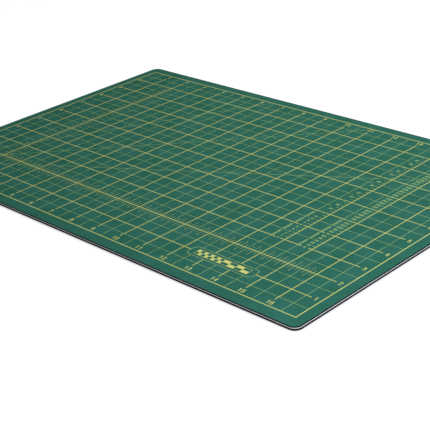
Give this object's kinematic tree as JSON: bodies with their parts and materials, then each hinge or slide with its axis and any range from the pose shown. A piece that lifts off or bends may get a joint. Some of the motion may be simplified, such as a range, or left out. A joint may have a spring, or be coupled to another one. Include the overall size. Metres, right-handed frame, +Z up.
{
  "type": "craft cutting mat",
  "caption": "Thin laminated self-healing cutting mat with rounded corners and a printed inch grid, ruler ticks and angle guides on its matt face.",
  "frame": {"origin": "middle of the underside", "axes": "+X along the long side in the direction the printed numbers grow, +Y along the short side away from the reader, +Z up out of the printed face"},
  "size_m": [0.45, 0.3, 0.0031],
  "materials": {
    "bottom_pvc": "dark PVC sheet, matt",
    "core_pvc": "pale grey PVC sheet, dull cut edge",
    "top_pvc": "green PVC sheet, fine matt grain",
    "ink": "yellow screen-print ink, satin"
  },
  "bodies": {
    "root": {"bottom_sheet": "bottom_pvc", "core_sheet": "core_pvc", "top_sheet": "top_pvc", "fine_lines": "ink", "inch_lines": "ink", "inch_line_stub_1": "ink", "inch_line_stub_2": "ink"}
  },
  "joints": []
}
